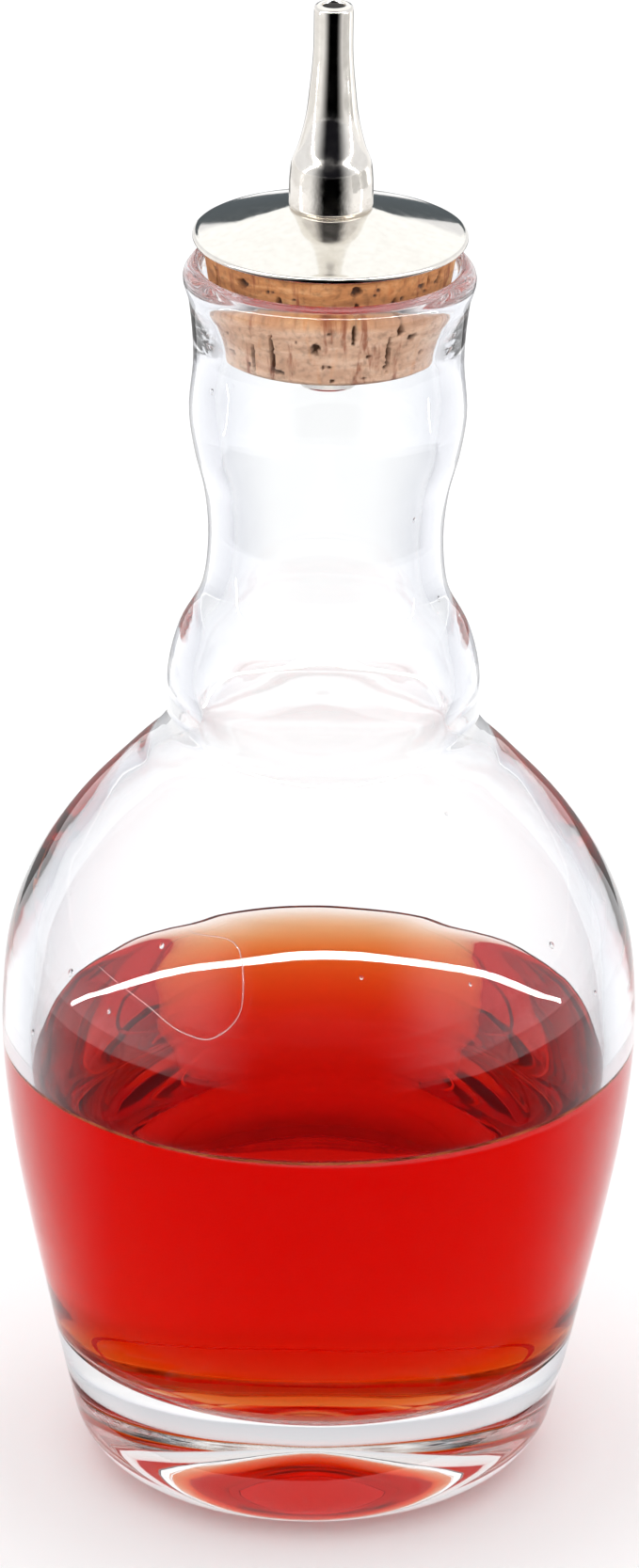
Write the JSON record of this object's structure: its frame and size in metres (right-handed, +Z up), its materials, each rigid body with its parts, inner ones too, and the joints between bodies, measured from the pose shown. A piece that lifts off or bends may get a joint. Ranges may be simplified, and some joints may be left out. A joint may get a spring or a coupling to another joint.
{
  "type": "bitters bottle",
  "caption": "Hand-blown clear glass bottle with a thick base and swelling neck, part full of red bitters, closed by a cork with a domed metal disc and tapered dasher spout.",
  "frame": {"origin": "middle of the object's footprint at table level", "axes": "+Z up along the bottle, -Y towards the side seen in the picture"},
  "size_m": [0.0716, 0.0716, 0.1728],
  "materials": {
    "glass": "clear polished blown glass, slightly uneven, with a few seeds",
    "drink": "clear deep red liquid",
    "cork": "matt natural cork with dark pits and cracks",
    "metal": "polished nickel, slightly warm"
  },
  "bodies": {
    "root": {"bottle_foot": "glass", "bottle_bulb": "glass", "bottle_neck": "glass", "drink": "drink", "cork": "cork", "cap_disc": "metal", "spout": "metal", "stem": "metal"}
  },
  "joints": []
}
